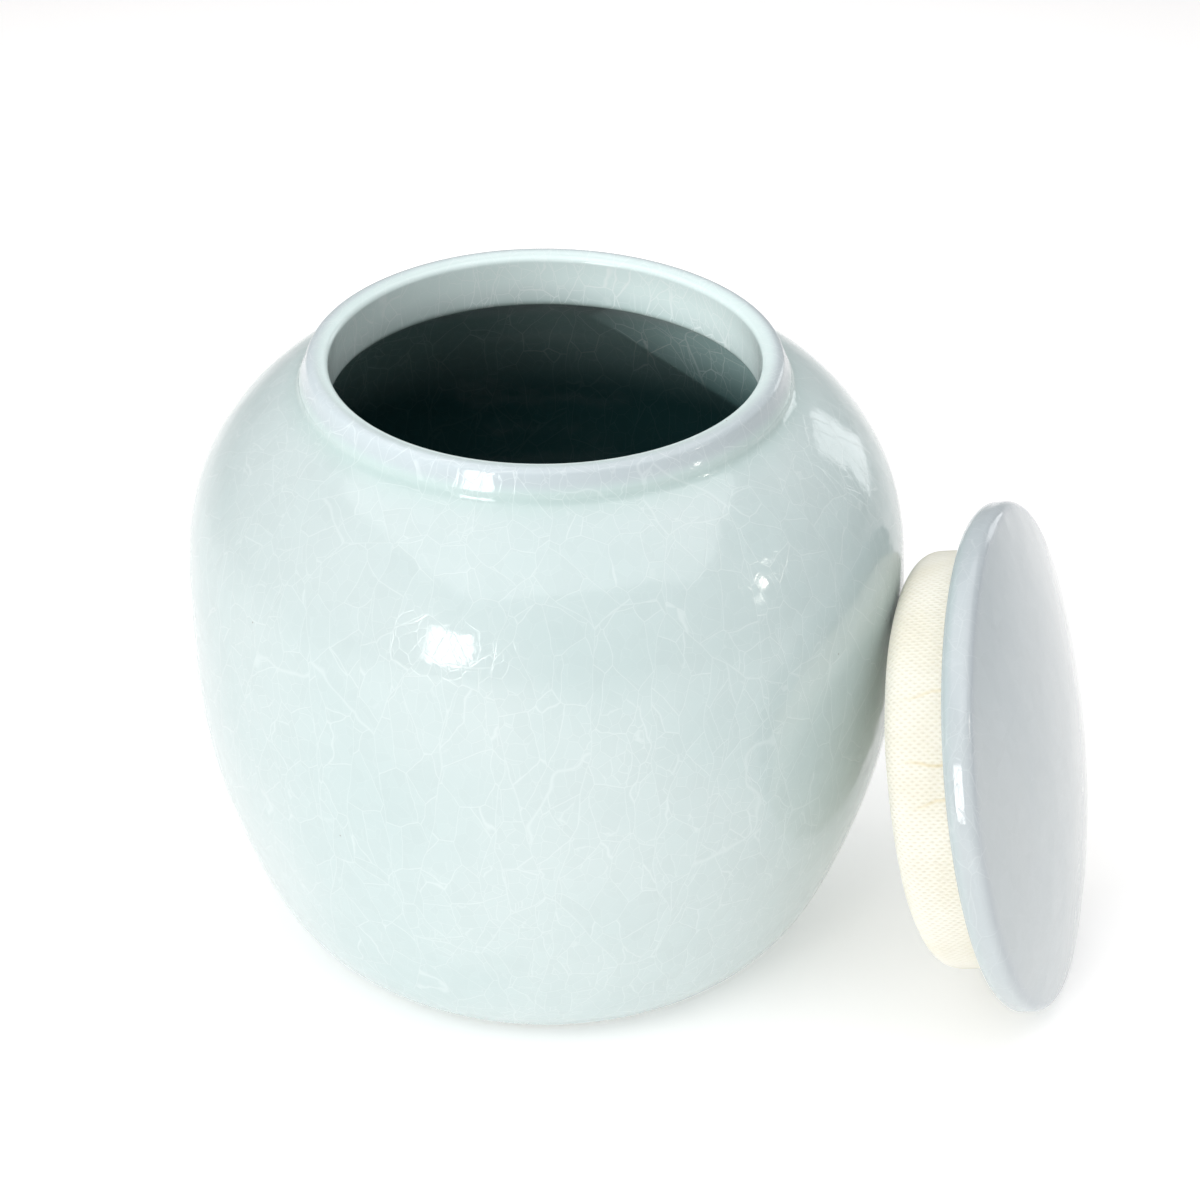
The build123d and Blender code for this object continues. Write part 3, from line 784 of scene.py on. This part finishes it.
N.set(Base_Color=N.mix(N.range(ft, 0.3, 0.7), (0.74, 0.70, 0.58), (0.88, 0.86, 0.77)), Roughness=N.math("MULTIPLY_ADD", ft, 0.15, 0.6),
      Normal=N.bump(ft, 0.00005, 0.8), Sheen_Weight=0.3)
thread.data.materials.append(N.mat)
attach(thread, "lid"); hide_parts("gathering_thread")


# the adhesive: a thin bed whose edge squeezed out a little, unevenly
def glue_wobble(rr, hh, T):
    out = smooth(0.0375, 0.0390, rr)
    s = np.sin(11 * T + 0.4) + np.sin(23 * T + 2.0) + 0.6 * np.sin(41 * T + 1.1)
    return MM * out * (0.10 * s), np.zeros_like(rr)


glue_prof = chain(seg((34.8, -0.03), (34.8, -0.42), 4), seg((34.8, -0.42), (38.5, -0.42), 8), arc((38.72, -0.225), 0.30, -50, 50, 7),
                  seg((38.5, -0.03), (34.9, -0.03), 8))
glue = lathe("adhesive_bed", glue_prof * MM, 360, lid_place, glue_wobble, closed=True)
N = Net("aged_adhesive")
p = N.place_mm()
g1 = N.noise(p, 0.5, 3.0)
N.set(Base_Color=N.mix(N.range(g1, 0.3, 0.7), (0.36, 0.22, 0.08), (0.56, 0.41, 0.19)), Roughness=N.math("MULTIPLY_ADD", g1, 0.2, 0.25),
      Normal=N.bump(g1, 0.0001, 0.5), IOR=1.48)
glue.data.materials.append(N.mat)
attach(glue, "lid"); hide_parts("adhesive_ring")

# the backing board keeps its own solid and gets greyboard
N = Net("greyboard")
p = N.place_mm()
pulp = N.noise(p, 1.4, 5.0, 0.75)
fleck = N.range(N.noise(N.vmath("MULTIPLY", p, (0.8, 3.0, 3.0)), 1.0, 3.0, 0.6), 0.60, 0.72)
ply_ = N.sep(p)
depthwise = N.vmath("DOT_PRODUCT", p, tuple(LN))
bands = N.range(N.math("SINE", N.math("MULTIPLY", depthwise, 9.0)), -0.2, 1.0, 0.0, 0.25)
col = N.mix(N.range(pulp, 0.3, 0.7), (0.30, 0.25, 0.19), (0.46, 0.40, 0.32))
col = N.mix(N.math("MULTIPLY", fleck, 0.6), col, (0.62, 0.57, 0.48))
col = N.mix(bands, col, (0.24, 0.20, 0.15))
N.set(Base_Color=col, Roughness=N.math("MULTIPLY_ADD", pulp, 0.1, 0.85), Normal=N.bump(pulp, 0.0001, 0.7))
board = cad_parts["plug_backing_board"]
if not board.material_slots:
    board.data.materials.append(N.mat)
for s in board.material_slots:
    s.material = N.mat


# ------------------------------------------------------------------ floor, light, camera
def area(name, az, el, dist, w, h, radiance, color=(1, 1, 1), glossy=True, aim=(0.012, 0.0, 0.062)):
    a, e = math.radians(az), math.radians(el)
    d = Vector((math.cos(e) * math.cos(a), math.cos(e) * math.sin(a), math.sin(e)))
    data = bpy.data.lights.new(name, "AREA")
    data.shape = "RECTANGLE"; data.size = w; data.size_y = h
    data.energy = radiance * math.pi * w * h; data.color = color
    o = bpy.data.objects.new(name, data)
    o.location = Vector(aim) + d * dist
    o.rotation_euler = (-d).to_track_quat("-Z", "Y").to_euler()
    o.visible_camera = False
    o.visible_glossy = glossy
    bpy.context.scene.collection.objects.link(o)
    return o


bpy.ops.mesh.primitive_plane_add(size=24, location=(0, 0, min(jar_lo[2], lid_lo[2]) - 0.0002))
floor = bpy.context.object
floor.name = "studio_floor"
N = Net("white_sweep")
fn = N.noise(N.place_mm(), 0.004, 2.0)
# painted pool of light: the floor glows around the object and its colour greys further out
glow = N.range(N.vmath("LENGTH", N.place_mm()), 290.0, 620.0, FLOOR_GLOW, 0.08)
floor_light_falloff = N.range(N.vmath("LENGTH", N.place_mm()), 300.0, 760.0)
N.set(Base_Color=N.mix(floor_light_falloff, N.mix(fn, (0.90, 0.895, 0.89), (0.92, 0.915, 0.91)), (0.74, 0.74, 0.735)), Roughness=0.9, Specular_IOR_Level=0.1,
      Emission_Color=(1.0, 0.995, 0.985), Emission_Strength=glow)
floor.data.materials.append(N.mat)

for spec in LIGHTS:
    area(*spec)
# a flat narrow spot from the front left that reaches only into the mouth
beam = Vector((math.cos(math.radians(21)) * math.cos(math.radians(-128)),
               math.cos(math.radians(21)) * math.sin(math.radians(-128)), math.sin(math.radians(21))))
spot = bpy.data.lights.new("spot_into_mouth", "SPOT")
spot.energy = 50.0; spot.color = (1.0, 0.995, 0.99)
spot.spot_size = math.radians(3.8); spot.spot_blend = 0.7; spot.shadow_soft_size = 0.012
spot_ob = bpy.data.objects.new("spot_into_mouth", spot)
spot_ob.location = Vector((AXIS_X, AXIS_Y, jar_hi[2] - 0.002)) + beam * 1.2
spot_ob.rotation_euler = (-beam).to_track_quat("-Z", "Y").to_euler()
spot_ob.scale = (1.0, 0.40, 1.0)
spot_ob.visible_camera = False
spot_ob.visible_glossy = False
bpy.context.scene.collection.objects.link(spot_ob)

world = bpy.data.worlds.new("studio")
bpy.context.scene.world = world
world.use_nodes = True
bg = world.node_tree.nodes["Background"]
bg.inputs[0].default_value = WORLD[:3] + (1,)
bg.inputs[1].default_value = WORLD[3]

cam_data = bpy.data.cameras.new("view")
cam_data.sensor_fit = "HORIZONTAL"
cam_data.sensor_width = 36.0
cam_data.lens = 4711.4 / 1200 * 36.0
cam_data.clip_start = 0.05
cam_data.clip_end = 60
cam = bpy.data.objects.new("view", cam_data)
bpy.context.scene.collection.objects.link(cam)
turn, tilt = math.radians(13.8), math.radians(31.02)
look = Vector((-math.sin(turn) * math.cos(tilt), math.cos(turn) * math.cos(tilt), -math.sin(tilt)))
target = Vector((math.cos(turn) * 0.01018, math.sin(turn) * 0.01018, 0.06904))
cam.location = target - look * 0.9
cam.rotation_euler = look.to_track_quat("-Z", "Y").to_euler()
bpy.context.scene.camera = cam
bpy.context.scene.view_settings.view_transform = "Standard"
bpy.context.scene.view_settings.look = "None"
